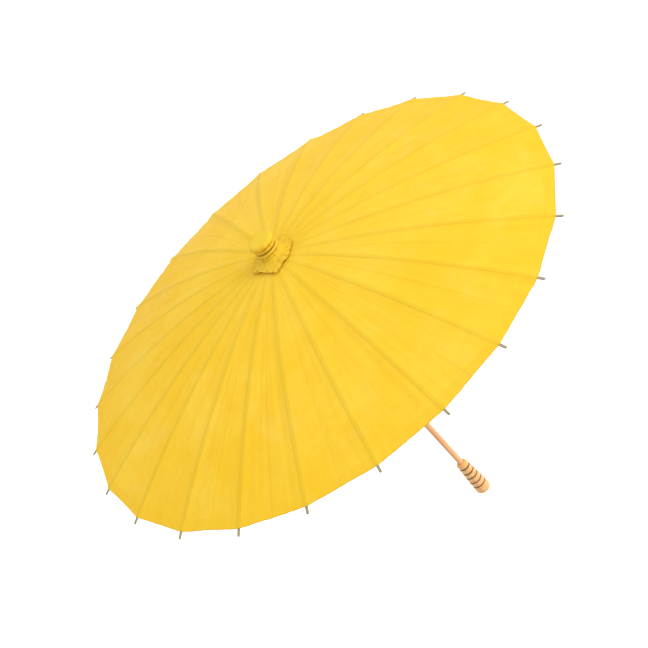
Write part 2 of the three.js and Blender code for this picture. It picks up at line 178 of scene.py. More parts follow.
def paper_look(name, patterned):
    """Oiled paper: blotches, fibres and creases, with painted sheen patches, darker where it is doubled, and
    painted shade over and along the ribs, in the creases and in the cap's folds.

    Patterned paper also follows four values on its points, in millimetres: lateral is the distance
    from the rib, centre from the crease between two ribs, rim from the canopy's edge, and radius
    from the shaft.
    """
    look = Look(name)
    where = look.place()
    blotches = look.noise(where, 9.0, 4.0, 0.6, 0.4)
    colour = look.mix(look.ramp(blotches, 0.3, 0.7), rgb(253, 212, 50), rgb(255, 220, 70))
    # Painted sheen: these pale patches stand in for the soft reflection on the oiled paper, painted into its
    # colour.
    painted_sheen = look.noise(where, 13.0, 6.0, 0.62, 0.6)
    colour = look.mix(look.ramp(painted_sheen, 0.5, 0.75, 0.0, 0.3), colour, rgb(255, 226, 118))
    clouds = look.noise(where, 55.0, 5.0, 0.65)
    colour = look.mix(look.ramp(clouds, 0.35, 0.75, 0.0, 0.35), colour, rgb(250, 205, 46))
    fibres = look.noise(look.place((1.0, 1.0, 0.2)), 900.0, 6.0, 0.7, 1.2)
    colour = look.mix(look.ramp(fibres, 0.58, 0.75, 0.0, 0.22), colour, rgb(255, 228, 112))
    specks = look.noise(where, 420.0, 2.0, 0.5)
    colour = look.mix(look.ramp(specks, 0.72, 0.8, 0.0, 0.3), colour, rgb(196, 140, 30))
    roughness = look.ramp(clouds, 0.2, 0.8, 0.46, 0.62)
    # Painted shade: the cap's grooves, fold valleys and skirt creases are darkened in colour where shade
    # falls.
    fold_shade = look.math("MULTIPLY", look.value("fold_shade"), look.ramp(clouds, 0.25, 0.65, 0.5, 1.0))
    colour = look.mix(fold_shade, colour, rgb(172, 132, 34))
    if patterned:
        lateral = look.value("lateral")
        centre = look.value("centre")
        rim = look.value("rim")
        radius = look.value("radius")
        wander = look.ramp(look.noise(where, 24.0, 2.0), 0.3, 0.7, 0.35, 1.0)
        # Painted shade: the dark lines at each rib's edges and the darker band over the rib stand in for the
        # shadow the rib casts through the paper.
        shoulder = look.line(lateral, 2.4, 0.6)
        out_from_cap = look.ramp(radius, 30.0, 90.0, 0.35, 1.0)
        painted_rib_edge_shade = look.math("MULTIPLY", look.math("MULTIPLY", shoulder, wander), out_from_cap)
        colour = look.mix(look.math("MULTIPLY", painted_rib_edge_shade, 0.5), colour, rgb(206, 152, 22))
        painted_rib_shade = look.math("MULTIPLY", look.ramp(lateral, 1.9, 2.5, 1.0, 0.0), 0.12)
        colour = look.mix(painted_rib_shade, colour, rgb(232, 186, 40))
        # Painted shade: the crease between two ribs is darkened in colour where shade falls in it.
        crease = look.math("MULTIPLY", look.line(centre, 0.0, 0.8), wander)
        colour = look.mix(look.math("MULTIPLY", crease, 0.3), colour, rgb(222, 178, 40))
        hem = look.ramp(rim, 13.2, 14.2, 1.0, 0.0)
        hem_share = look.math("MULTIPLY", hem, look.ramp(blotches, 0.35, 0.65, 0.05, 0.3))
        colour = look.mix(hem_share, colour, rgb(248, 200, 26))
        hem_line = look.math("MULTIPLY", look.line(rim, 14.0, 0.7), wander)
        colour = look.mix(look.math("MULTIPLY", hem_line, 0.25), colour, rgb(222, 180, 40))
        fold = look.ramp(rim, 0.2, 1.5, 0.55, 0.0)
        colour = look.mix(fold, colour, rgb(214, 170, 36))
        along_the_rib = look.node(
            "ShaderNodeCombineXYZ", None, X=look.math("DIVIDE", lateral, 3.0),
            Y=look.math("DIVIDE", radius, 160.0), Z=look.math("DIVIDE", centre, 7.0),
        ).outputs[0]
        streaks = look.noise(along_the_rib, 1.0, 3.0)
        colour = look.mix(look.ramp(streaks, 0.55, 0.8, 0.0, 0.25), colour, rgb(240, 188, 38))
    crumple = look.noise(where, 130.0, 5.0, 0.6, 0.8)
    normal = look.bump(crumple, 0.0006, 0.5)
    normal = look.bump(fibres, 0.00012, 0.6, normal)
    sheet = look.principled(
        Base_Color=colour, Roughness=roughness, Specular_IOR_Level=0.08, Normal=normal,
    )
    glow_colour = look.mix(0.5, colour, rgb(255, 216, 84))
    glow = look.node("ShaderNodeBsdfTranslucent", None, Color=glow_colour, Normal=normal)
    both = look.node("ShaderNodeMixShader", None, Fac=0.2)
    look.tree.links.new(sheet.outputs[0], both.inputs[1])
    look.tree.links.new(glow.outputs[0], both.inputs[2])
    return look.finish(both.outputs[0])


def grained_look(name, pale, dark, burnt, grain, roughness, burn=None, rings=None):
    """Wood or bamboo with long fibres. grain scales the pattern along each of the object's axes."""
    look = Look(name)
    along = look.place(grain)
    streaks = look.noise(along, 1.0, 5.0, 0.62, 0.6)
    colour = look.mix(look.ramp(streaks, 0.3, 0.72), pale, dark)
    pores = look.noise(along, 4.5, 3.0, 0.7)
    colour = look.mix(look.ramp(pores, 0.6, 0.76, 0.0, 0.55), colour, burnt)
    clouds = look.noise(look.place(), 38.0, 3.0)
    colour = look.mix(look.ramp(clouds, 0.35, 0.75, 0.0, 0.3), colour, dark)
    if burn:
        scorched = look.math("MULTIPLY", look.value(burn), look.ramp(clouds, 0.2, 0.6, 0.8, 1.0))
        colour = look.mix(scorched, colour, burnt)
    if rings:
        colour = look.mix(look.math("MULTIPLY", look.value(rings), 0.5), colour, burnt)
    height = look.math("ADD", streaks, look.math("MULTIPLY", pores, 0.6))
    normal = look.bump(height, 0.00015, 0.55)
    shine = look.ramp(streaks, 0.2, 0.8, roughness - 0.07, roughness + 0.12)
    wood = look.principled(Base_Color=colour, Roughness=shine, Specular_IOR_Level=0.4, Normal=normal)
    return look.finish(wood.outputs[0])


def metal_look(name, bright, dull, roughness):
    """Drawn wire and rolled steel with fine scratches and a little tarnish."""
    look = Look(name)
    where = look.place()
    tarnish = look.noise(where, 160.0, 4.0)
    colour = look.mix(look.ramp(tarnish, 0.35, 0.7), bright, dull)
    scratches = look.noise(look.place((1.0, 1.0, 0.05)), 2600.0, 2.0)
    shine = look.math("ADD", look.ramp(tarnish, 0.3, 0.7, roughness, roughness + 0.2),
                      look.ramp(scratches, 0.3, 0.7, -0.05, 0.05))
    normal = look.bump(scratches, 0.00002, 0.4)
    steel = look.principled(Base_Color=colour, Roughness=shine, Metallic=1.0, Normal=normal)
    return look.finish(steel.outputs[0])


def thread_look(name):
    """Cotton thread: a two-ply twist along the winding."""
    look = Look(name)
    twist = look.node(
        "ShaderNodeTexWave", {"wave_type": "BANDS", "bands_direction": "DIAGONAL"},
        Vector=look.place(), Scale=900.0, Distortion=1.5, Detail=2.0,
    ).outputs["Fac"]
    fuzz = look.noise(look.place(), 3000.0, 3.0)
    colour = look.mix(look.ramp(twist, 0.2, 0.8), rgb(150, 112, 30), rgb(196, 152, 48))
    colour = look.mix(look.math("MULTIPLY", fuzz, 0.3), colour, rgb(150, 105, 30))
    normal = look.bump(twist, 0.0001, 0.8)
    cotton = look.principled(Base_Color=colour, Roughness=0.9, Specular_IOR_Level=0.15, Normal=normal)
    return look.finish(cotton.outputs[0])


PAPER = paper_look("oiled_paper", patterned=True)
STRIP_PAPER = paper_look("oiled_paper_plain", patterned=False)
BAMBOO = grained_look(
    "rib_bamboo", rgb(178, 165, 132), rgb(148, 136, 106), rgb(104, 92, 68),
    (9.0, 1100.0, 700.0), 0.55, rings="ring",
)
STRETCHER_BAMBOO = grained_look(
    "stretcher_bamboo", rgb(206, 176, 124), rgb(176, 143, 93), rgb(120, 92, 56),
    (10.0, 1100.0, 900.0), 0.55, rings="ring",
)
SHAFT_WOOD = grained_look(
    "shaft_wood", rgb(255, 202, 144), rgb(246, 172, 110), rgb(192, 116, 62),
    (420.0, 420.0, 9.0), 0.42,
)
GRIP_WOOD = grained_look(
    "grip_wood", rgb(255, 208, 142), rgb(248, 180, 106), rgb(104, 42, 6),
    (300.0, 300.0, 14.0), 0.36, burn="burn",
)
TURNED_WOOD = grained_look(
    "turned_wood", rgb(206, 160, 104), rgb(178, 128, 76), rgb(120, 80, 44),
    (300.0, 300.0, 16.0), 0.48, burn="burn",
)
STEEL = metal_look("spring_steel", rgb(196, 196, 192), rgb(142, 140, 134), 0.3)
WIRE = metal_look("iron_wire", rgb(176, 174, 168), rgb(118, 110, 98), 0.36)
THREAD = thread_look("thread")


# ---------------------------------------------------------------- meshes

SHARP_ANGLE = 38.0  # edges that bend more than this, in degrees, are shaded as edges
AXIS = 0.02  # a turned outline starts or ends this near to the shaft's line


def mesh_of(name, points, faces, material, sharp=SHARP_ANGLE, values=None):
    """A mesh from points in millimetres, faces facing out, with named values on its points."""
    mesh = bpy.data.meshes.new(name)
    mesh.from_pydata((np.asarray(points, float).reshape(-1, 3) * MM).tolist(), [], faces)
    work = bmesh.new()
    work.from_mesh(mesh)
    bmesh.ops.recalc_face_normals(work, faces=work.faces)
    work.to_mesh(mesh)
    work.free()
    mesh.polygons.foreach_set("use_smooth", np.ones(len(mesh.polygons), bool))
    mesh.set_sharp_from_angle(angle=math.radians(sharp))
    for key, numbers in (values or {}).items():
        attribute = mesh.attributes.new(key, "FLOAT", "POINT")
        attribute.data.foreach_set("value", np.asarray(numbers, np.float32).ravel())
    mesh.materials.append(material)
    return mesh


def put(name, mesh, body, turn=0.0, replaces=()):
    """Shows a mesh, turned about the shaft, riding on a CAD body."""
    piece = bpy.data.objects.new(name, mesh)
    bpy.context.scene.collection.objects.link(piece)
    piece.matrix_world = Matrix.Rotation(turn, 4, "Z")
    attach(piece, body)
    if replaces:
        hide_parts(*replaces)
    return piece


def skin_faces(rows, columns, loop=False):
    """Quads over closed rings of points, with both ends capped, or joined round when loop is set."""
    faces = []
    for i in range(rows if loop else rows - 1):
        here, there = i * columns, ((i + 1) % rows) * columns
        for j in range(columns):
            k = (j + 1) % columns
            faces.append((here + j, here + k, there + k, there + j))
    if not loop:
        faces.append(tuple(reversed(range(columns))))
        faces.append(tuple((rows - 1) * columns + j for j in range(columns)))
    return faces


def sheet_faces(rows, columns, round_about=False):
    """Faces of a thin sheet: an over side, an under side and the edges between them."""
    under = rows * columns
    faces = []
    for i in range(rows - 1):
        for j in range(columns if round_about else columns - 1):
            k = (j + 1) % columns
            quad = (i * columns + j, i * columns + k, (i + 1) * columns + k, (i + 1) * columns + j)
            faces.append(quad)
            faces.append(tuple(under + p for p in reversed(quad)))
    for i in (0, rows - 1):
        for j in range(columns if round_about else columns - 1):
            a, b = i * columns + j, i * columns + (j + 1) % columns
            faces.append((a, b, under + b, under + a))
    if not round_about:
        for j in (0, columns - 1):
            for i in range(rows - 1):
                a, b = i * columns + j, (i + 1) * columns + j
                faces.append((a, b, under + b, under + a))
    return faces


def lathe(profile, segments, loop=False):
    """Points and faces of a body turned about the shaft's line, from (radius, height) pairs."""
    turn = np.linspace(0, 2 * math.pi, segments, endpoint=False)
    radius, height = np.asarray(profile, float).T
    points = np.stack([
        np.outer(radius, np.cos(turn)),
        np.outer(radius, np.sin(turn)),
        np.repeat(height[:, None], segments, 1),
    ], axis=-1)
    return points, skin_faces(len(profile), segments, loop)


def ring(radius, height, thickness, around=144, across=12):
    """A round wire ring about the shaft's line."""
    turn = np.linspace(0, 2 * math.pi, across, endpoint=False)
    section = [(radius + thickness * math.cos(t), height + thickness * math.sin(t)) for t in turn]
    return lathe(section, around, loop=True)


def rounded(profile, size, steps=3):
    """The same outline with each inner corner replaced by a small arc of points."""
    points = [np.asarray(p, float) for p in profile]
    out = [points[0]]
    for before, corner, after in zip(points, points[1:], points[2:]):
        back, on = before - corner, after - corner
        reach = min(size, np.linalg.norm(back) * 0.45, np.linalg.norm(on) * 0.45)
        a = corner + back / np.linalg.norm(back) * reach
        b = corner + on / np.linalg.norm(on) * reach
        for s in np.linspace(0, 1, steps + 1):
            out.append((1 - s) ** 2 * a + 2 * s * (1 - s) * corner + s * s * b)
    out.append(points[-1])
    return out


def carve(mesh, cutters):
    """Cuts solid shapes out of a mesh. Each cutter is (points, faces)."""
    body = bpy.data.objects.new("carved", mesh)
    bpy.context.scene.collection.objects.link(body)
    tools = []
    for points, faces in cutters:
        tool = bpy.data.objects.new("cutter", mesh_of("cutter", points, faces, mesh.materials[0]))
        bpy.context.scene.collection.objects.link(tool)
        cut = body.modifiers.new("cut", "BOOLEAN")
        cut.operation = "DIFFERENCE"
        cut.solver = "EXACT"
        cut.object = tool
        tools.append(tool)
    graph = bpy.context.evaluated_depsgraph_get()
    carved = bpy.data.meshes.new_from_object(body.evaluated_get(graph))
    carved.set_sharp_from_angle(angle=math.radians(SHARP_ANGLE))
    for item in [*tools, body]:
        bpy.data.objects.remove(item)
    return carved


def cross_cylinder(x, z, radius, length, sides=24):
    """Points and faces of a cylinder that runs across a rib, along Y."""
    turn = np.linspace(0, 2 * math.pi, sides, endpoint=False)
    points = [
        (x + radius * math.cos(t), y, z + radius * math.sin(t))
        for y in (-length / 2, length / 2) for t in turn
    ]
    return points, skin_faces(2, sides)


def long_hole(x_from, x_to, width, z_from, z_to, steps=8):
    """Points and faces of an upright slot with round ends."""
    half = width / 2
    right = np.linspace(-math.pi / 2, math.pi / 2, steps)
    left = right + math.pi
    outline = [(x_to - half + half * math.cos(t), half * math.sin(t)) for t in right]
    outline += [(x_from + half + half * math.cos(t), half * math.sin(t)) for t in left]
    points = [(x, y, z) for z in (z_from, z_to) for x, y in outline]
    return points, skin_faces(2, len(outline))


# ---------------------------------------------------------------- canopy

CREASE_DEPTH = 0.45
CREASE_WIDTH = 1.1
PAPER_SAG = 1.3
PAPER_UNDER = 0.26  # the gap between a rib's top and the paper's under side
PAPER_THICK = 0.26
HEM_WIDTH = 14
HEM_THICK = 0.14
RIM_CURVE = 0.7  # how far the rim draws in between two ribs
GLUED_HALF = 2.25  # the paper is flat on the rib this far to each side
GORE_HALF = math.sin(RIB_STEP) / 2  # half a gore's chord, as a share of the radius

# Columns from a rib to the middle of a gore: distances from the rib, then from the crease.
RIB_SIDE = np.array([0, 1.3, GLUED_HALF, 2.8, 3.6, 4.9, 7.0])
CREASE_SIDE = np.array([3.2, 1.5, 0.6, 0])
BETWEEN = np.linspace(0, 1, 11)[1:-1]


def half_columns(half_width):
    """Distances across half a gore, close together at the rib and at the crease."""
    rib_side = RIB_SIDE * min(1.0, half_width * 0.5 / RIB_SIDE[-1])
    crease_side = half_width - CREASE_SIDE * min(1.0, half_width * 0.3 / CREASE_SIDE[0])
    middle = rib_side[-1] + (crease_side[0] - rib_side[-1]) * BETWEEN
    return np.concatenate([rib_side, middle, crease_side])


def wrinkle(angle, radius):
    """Height that creases and slack add to the paper, from the direction and the radius."""
    east, north, out = math.cos(angle), math.sin(angle), radius * MM
    broad = noise.noise(Vector((east * 7, north * 7, out * 4)))
    pleats = 0.5 - abs(noise.noise(Vector((east * 23, north * 23, out * 2.2 + 5))))
    fine = noise.noise(Vector((east * 52, north * 52, out * 6 + 9)))
    cockle = noise.noise(Vector((east * radius * 0.045, north * radius * 0.045, 3.7)))
    grow = min(1.0, max(0.0, (radius - 30) / 200))
    return grow * (broad + 1.7 * (pleats - 0.4) + 0.3 * fine + 0.5 * cockle)


def gore_point(radius, side, half_width, rib_angle, toward):
    """A point on the paper's under side. side is the distance from the rib, toward is -1 or 1."""
    share = side / half_width
    here = np.array([math.cos(rib_angle), math.sin(rib_angle)])
    next_angle = rib_angle + toward * RIB_STEP
    there = np.array([math.cos(next_angle), math.sin(next_angle)])
    spot = radius * ((1 - share / 2) * here + share / 2 * there)
    off_rib = max(0.0, side - GLUED_HALF)
    slack = min(1.0, radius / 120)
    sag = PAPER_SAG * slack * (0.28 * (1 - math.exp(-off_rib / 1.3)) + 0.72 * share * (2 - share))
    crease = CREASE_DEPTH * slack * math.exp(-(half_width - side) / CREASE_WIDTH)
    loose = min(1.0, max(0.0, (side - 2.6) / 9))
    angle = rib_angle + toward * share * RIB_STEP / 2
    height = float(dome(radius)) + PAPER_UNDER - sag - crease + loose * wrinkle(angle, radius)
    return spot[0], spot[1], height


def canopy_rows():
    """Radii of the rows along a rib, closer together at the hem."""
    inner = np.linspace(PAPER_HOLE_RADIUS, PAPER_RADIUS - HEM_WIDTH - 1.4, 60)
    hem = PAPER_RADIUS - np.array([14.3, 13.6, 12.6, 10, 7, 4, 2, 1, 0.3, 0])
    return np.concatenate([inner, hem])


def wedge(number):
    """The paper from the middle of one gore to the middle of the next, over one rib."""
    rib_angle = (number - 1) * RIB_STEP
    rows = canopy_rows()
    over, under = [], []
    values = {"lateral": [], "centre": [], "rim": [], "radius": []}
    for row in rows:
        span = (row - PAPER_HOLE_RADIUS) / (PAPER_RADIUS - PAPER_HOLE_RADIUS)
        from_rim = PAPER_RADIUS - row
        thick = PAPER_THICK + HEM_THICK * min(1.0, max(0.0, (14.2 - from_rim) / 0.7))
        shares = half_columns(row * GORE_HALF) / (row * GORE_HALF)
        for toward, across in ((-1, shares[::-1]), (1, shares[1:])):
            for share in across:
                bite = RIM_CURVE * share * (2 - share) * span ** 6
                radius = row - bite
                half_width = radius * GORE_HALF
                x, y, z = gore_point(radius, share * half_width, half_width, rib_angle, toward)
                under.append((x, y, z))
                over.append((x, y, z + thick))
                values["lateral"].append(share * half_width)
                values["centre"].append((1 - share) * half_width)
                values["rim"].append(from_rim)
                values["radius"].append(radius)
    columns = len(over) // len(rows)
    doubled = {key: numbers * 2 for key, numbers in values.items()}
    faces = sheet_faces(len(rows), columns)
    return mesh_of(f"paper_{number:02d}", over + under, faces, PAPER, 50, doubled)


# Half the width of the strip on each rib, at these radii.
STRIP_RADII = (14, 20, 40, 100, 165, 250, 350, 398)
STRIP_HALVES = (1.4, 1.9, 2.6, 3.4, 4.1, 3.8, 3.1, 2.2)
STRIP_THICK = 0.13
STRIP_COLUMNS = 9


def rib_strip():
    """A strip of paper glued along the top of a rib, under the canopy."""
    over, under = [], []
    rows = np.linspace(PAPER_HOLE_RADIUS + 0.5, PAPER_RADIUS - 0.6, 72)
    for radius in rows:
        half = float(np.interp(radius, STRIP_RADII, STRIP_HALVES))
        for share in np.linspace(-1, 1, STRIP_COLUMNS):
            off_rib = max(0.0, abs(share) * half - GLUED_HALF)
            ragged = 0.25 * noise.noise(Vector((radius * 0.09, share * 2, 1.5))) * abs(share)
            height = float(dome(radius)) + 0.05 - 0.16 * off_rib
            over.append((radius, share * half + ragged, height + STRIP_THICK))
            under.append((radius, share * half + ragged, height))
    return mesh_of("rib_strip", over + under, sheet_faces(len(rows), STRIP_COLUMNS), STRIP_PAPER)


strip_mesh = rib_strip()
for number in range(1, RIB_COUNT + 1):
    rib_body = f"rib_{number:02d}"
    turn = (number - 1) * RIB_STEP
    gore = put(f"paper_{number:02d}", wedge(number), rib_body)
    strip = put(f"rib_strip_{number:02d}", strip_mesh, rib_body, turn)
    if number == 1:
        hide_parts("canopy")
    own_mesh(gore)


# ---------------------------------------------------------------- paper cap

CAP_PROFILE = [
    (AXIS, 629.5), (5, 629.55), (10, 629.5), (14, 629.55), (16.6, 629.35), (18, 628.7), (18.8, 627.6),
    (19.1, 626.2), (19.2, 624.6), (18.9, 623.3), (17.9, 622.2), (16.7, 621.2), (16.2, 620.0),
    (16.2, 619.0), (16.8, 618.2), (17.6, 617.6), (17.7, 616.9), (16.8, 616.1), (16.0, 615.2),
    (15.95, 614.2), (16.2, 613.4), (17.2, 612.6), (18.5, 611.8), (18.9, 611.0), (18.3, 610.1),
    (17.2, 609.3), (16.8, 608.4), (17.3, 607.6), (18.5, 606.9), (18.9, 606.1), (18.3, 605.2), (17.8, 604.0),
    (18.2, 602.6), (19.4, 601.2), (21.2, 599.9), (23.6, 598.9), (26.4, 598.1), (29.4, 597.5),
    (32.2, 597.0), (34.8, 596.5), (36.7, 596.2), (38, 596.0),
]
TIE_HEIGHT = 614.6
CAP_GROOVES = (620.0, TIE_HEIGHT, 608.4)
CAP_THICK = 0.35
CAP_COLUMNS = 192
CAP_TOP_ROWS = 8  # the profile's rows on the flat top and its rounded edge
CAP_EDGE_RADIUS = 37.5  # beyond it the paper is coloured like the canopy's very rim
SKIRT_START = 30  # the profile's row where the skirt begins to spread
# How far each side of the skirt stands off the canopy, by the direction of the side in degrees.
SKIRT_LIFT = {55: 0.3, 126: 0.8, 198: 1.6, 255: 1.0, 303: 0.7, 355: 0.4}
# Corners of the skirt: direction in degrees, and reach as a share of the cap's radius.
SKIRT_CORNERS = [(20, 1.0), (90, 1.04), (162, 1.02), (235, 1.2), (276, 0.94), (328, 0.94), (380, 1.0)]


def skirt_reach(angle):
    """Radius of the uneven six-sided skirt's edge in a direction, as a share of the cap's radius."""
    first = SKIRT_CORNERS[0][0]
    turn = (math.degrees(angle) - first) % 360 + first
    for (start, near), (end, far) in zip(SKIRT_CORNERS, SKIRT_CORNERS[1:]):
        if turn <= end:
            before = math.sin(math.radians(turn - start))
            after = math.sin(math.radians(end - turn))
            return near * far * math.sin(math.radians(end - start)) / (near * before + far * after)


def skirt_lift(angle):
    """How far the skirt's edge stands off in a direction, blended between its sides."""
    total = weight = 0.0
    for side, lift in SKIRT_LIFT.items():
        gap = (math.degrees(angle) - side + 180) % 360 - 180
        share = math.exp(-((gap / 24) ** 2))
        total += share * lift
        weight += share
    return total / weight


def cap_point(row, angle):
    """A point on the cap's outside, in millimetres, and how much painted shade its folds and creases get
    there.
    """
    radius, height = CAP_PROFILE[row]
    spread = max(0.0, (row - SKIRT_START) / (len(CAP_PROFILE) - 1 - SKIRT_START))
    groove = max(math.exp(-(((height - low) / 1.1) ** 2)) for low in CAP_GROOVES)
    from_tie = abs(height - TIE_HEIGHT)
    east, north = math.cos(angle), math.sin(angle)
    r = radius * (1 + (skirt_reach(angle) - 1) * spread ** 1.5)
    z = height
    gather = noise.noise(Vector((east * 4.5, north * 4.5, height * 0.035)))
    slump = noise.noise(Vector((east * 1.6, north * 1.6, 6.5)))
    tucks = abs(math.sin(8.5 * angle + 2.6 * gather + (height - 615) * 0.06))
    folded = min(1.0, max(0.0, (628.6 - height) / 4)) * (1 - spread)
    tied = min(1.0, 0.15 + from_tie / 5)
    r += folded * tied * (0.9 * (1 - tucks) ** 1.2 + 0.7 * gather)
    z += folded * 1.3 * slump * min(1.0, from_tie / 5)
    crumple = noise.noise(Vector((east * r * 0.16, north * r * 0.16, 2.5)))
    sharp = abs(noise.noise(Vector((east * r * 0.1 + 7, north * r * 0.1, 4.5))))
    crease = abs(noise.noise(Vector((east * r * 0.3, north * r * 0.3 + 9, 8.5))))
    z += spread * (1.1 * crumple + 3.2 * sharp + 1.6 * crease) + spread ** 2 * skirt_lift(angle)
    if row < CAP_TOP_ROWS:
        z -= 0.5 * abs(crumple) * min(1.0, radius / 12)
        r += 0.25 * gather * (radius > 12)
    # Painted shade: the tucks' valleys, the grooves under the folds and the skirt's creases are darkened in
    # colour where shade falls in them.
    valley = (1 - tucks) ** 3 * folded * tied
    groove_shade_strength = min(1.0, max(0.25, 0.7 + 1.2 * slump))
    skirt_crease_shade = 0.7 * max(0.0, 1 - 9 * sharp) + 0.45 * max(0.0, 1 - 8 * crease)
    fold_shade = min(1.0, (0.7 * groove * groove_shade_strength + 0.45 * valley) * (1 - spread) + skirt_crease_shade * spread)
    return (r * east, r * north, z), fold_shade


def cap_mesh():
    """One sheet gathered over the head: a flat top, three folds, a tied neck and a crumpled skirt."""
    rows = len(CAP_PROFILE)
    grid = np.zeros((rows, CAP_COLUMNS, 3))
    fold_shade = np.zeros((rows, CAP_COLUMNS))
    for i in range(rows):
        for j in range(CAP_COLUMNS):
            grid[i, j], fold_shade[i, j] = cap_point(i, 2 * math.pi * j / CAP_COLUMNS)
    along = np.gradient(grid, axis=0)
    around = np.roll(grid, -1, 1) - np.roll(grid, 1, 1)
    out = np.cross(around, -along)
    out /= np.maximum(np.linalg.norm(out, axis=2, keepdims=True), 1e-9)
    if out[rows // 3, 0, 0] < 0:
        out = -out
    out[0] = (0, 0, 1)
    points = np.concatenate([grid.reshape(-1, 3), (grid - CAP_THICK * out).reshape(-1, 3)])
    edge = np.array([0.8 if radius > CAP_EDGE_RADIUS else 40.0 for radius, height in CAP_PROFILE])
    # The cap has no rib, crease or hem of its own, so its points say that they are far from one.
    values = {
        "lateral": np.full(len(points), 30.0),
        "centre": np.full(len(points), 30.0),
        "rim": np.tile(np.repeat(edge, CAP_COLUMNS), 2),
        "radius": np.full(len(points), 100.0),
        "fold_shade": np.tile(fold_shade.ravel(), 2),
    }
    return mesh_of("cap", points, sheet_faces(rows, CAP_COLUMNS, True), PAPER, 60, values)


cap = put("paper_cap", cap_mesh(), "frame", replaces=["cap"])


THREAD_STEPS = 64


def winding(radius, height, thickness, turns, pitch):
    """Points and faces of a thread wound round the neck of the cap, its ends tucked in."""
    steps = THREAD_STEPS * turns
    across = 8
    points = []
    for i in range(steps + 1):
        angle = 2 * math.pi * i / THREAD_STEPS
        share = i / steps
        tuck = 0.5 * (max(0.0, 1 - share * 40) + max(0.0, 1 - (1 - share) * 40))
        wander = 0.12 * noise.noise(Vector((math.cos(angle) * 3, math.sin(angle) * 3, share * 5)))
        for k in range(across):
            turn = 2 * math.pi * k / across
            r = radius - tuck + thickness * math.cos(turn)
            z = height + pitch * (share - 0.5) * turns + wander + thickness * math.sin(turn)
            points.append((r * math.cos(angle), r * math.sin(angle), z))
    return points, skin_faces(steps + 1, across)


points, faces = winding(radius=16.75, height=TIE_HEIGHT + 0.1, thickness=0.4, turns=3, pitch=0.82)
put("cap_thread", mesh_of("cap_thread", points, faces, THREAD), "frame", replaces=["cap_tie"])


# ---------------------------------------------------------------- ribs and stretchers

RIB_WIDTH = 4.5
RIB_NECK_WIDTH = 2.2
RIB_WIDTH_RADII = (0, 34, 44, 66, 340, 401, TIP_RADIUS)
RIB_WIDTHS = (RIB_NECK_WIDTH, RIB_NECK_WIDTH, 3.2, RIB_WIDTH, RIB_WIDTH, 3.9, 3.4)
RIB_DEPTH = 3.2
RIB_TIP_DEPTH = 2.0
RIB_JOINT_DEPTH = 4.6
RIB_RINGS = (104, 262)  # the culm's joints lie at the same place on every rib
EYE_HOLE_RADIUS = 0.8
JOINT_HOLE_RADIUS = 0.85
JOINT_PIN_RADIUS = 0.7
CUT_LENGTH = 8  # longer than any rib or stretcher is wide


def smooth_step(value, low, high):
    """0 up to low, 1 from high on, and a smooth change between them."""
    share = min(1.0, max(0.0, (value - low) / (high - low)))
    return share * share * (3 - 2 * share)


def rib_depth(radius):
    """From a rib's top to its under side: deeper at its eye and at the joint with its stretcher."""
    plain = RIB_DEPTH + (RIB_TIP_DEPTH - RIB_DEPTH) * smooth_step(radius, 200, TIP_RADIUS)
    near_eye = plain + (2 * RIB_EYE_RADIUS - plain) * (1 - smooth_step(radius, 20, 40))
    knuckle = 1 - smooth_step(abs(radius - JOINT_RADIUS), 24, 46)
    return near_eye + (RIB_JOINT_DEPTH - near_eye) * knuckle


def bar_section(half_width, low, high, corner):
    """An upright rounded rectangle across Y, as (y, z) pairs."""
    corner = min(corner, half_width * 0.9, (high - low) * 0.45)
    out = []
    # The middle of each rounded corner, and the direction in degrees where its arc starts.
    arcs = (
        (half_width - corner, low + corner, -90), (half_width - corner, high - corner, 0),
        (-half_width + corner, high - corner, 90), (-half_width + corner, low + corner, 180),
    )
    for cy, cz, start in arcs:
        for k in range(4):
            t = math.radians(start + 30 * k)
            out.append((cy + corner * math.cos(t), cz + corner * math.sin(t)))
    return out


def bar(stations, section, ring_places):
    """Points, faces and ring shares of a bar swept along X. It swells at each ring of the culm."""
    points, shares = [], []
    for x in stations:
        nearest = min(abs(x - place) for place in ring_places)
        swell = 0.22 * math.exp(-((nearest / 1.6) ** 2))
        for y, z in section(x, swell):
            points.append((x, y, z))
            shares.append(math.exp(-((nearest / 1.1) ** 2)))
    per_ring = len(points) // len(stations)
    return points, skin_faces(len(stations), per_ring), shares


def rib_section(x, swell):
    """The outline across a rib at a distance x from the shaft."""
    half = float(np.interp(x, RIB_WIDTH_RADII, RIB_WIDTHS)) / 2 + swell
    half += 0.05 * noise.noise(Vector((x * 0.05, 0, 8)))
    if x < HEAD_PIVOT_RADIUS:
        reach = math.sqrt(max(0.04, RIB_EYE_RADIUS ** 2 - (HEAD_PIVOT_RADIUS - x) ** 2))
        return bar_section(half, HEAD_PIVOT_HEIGHT - reach, HEAD_PIVOT_HEIGHT + reach, 0.35)
    top = float(dome(x))
    chisel = 0.35 * smooth_step(x, 404.6, TIP_RADIUS)
    low = top - rib_depth(x) - swell * 0.6 - 0.08 * noise.noise(Vector((x * 0.04, 3, 8)))
    return bar_section(half - chisel * 0.6, low + chisel, top - chisel, 0.5)


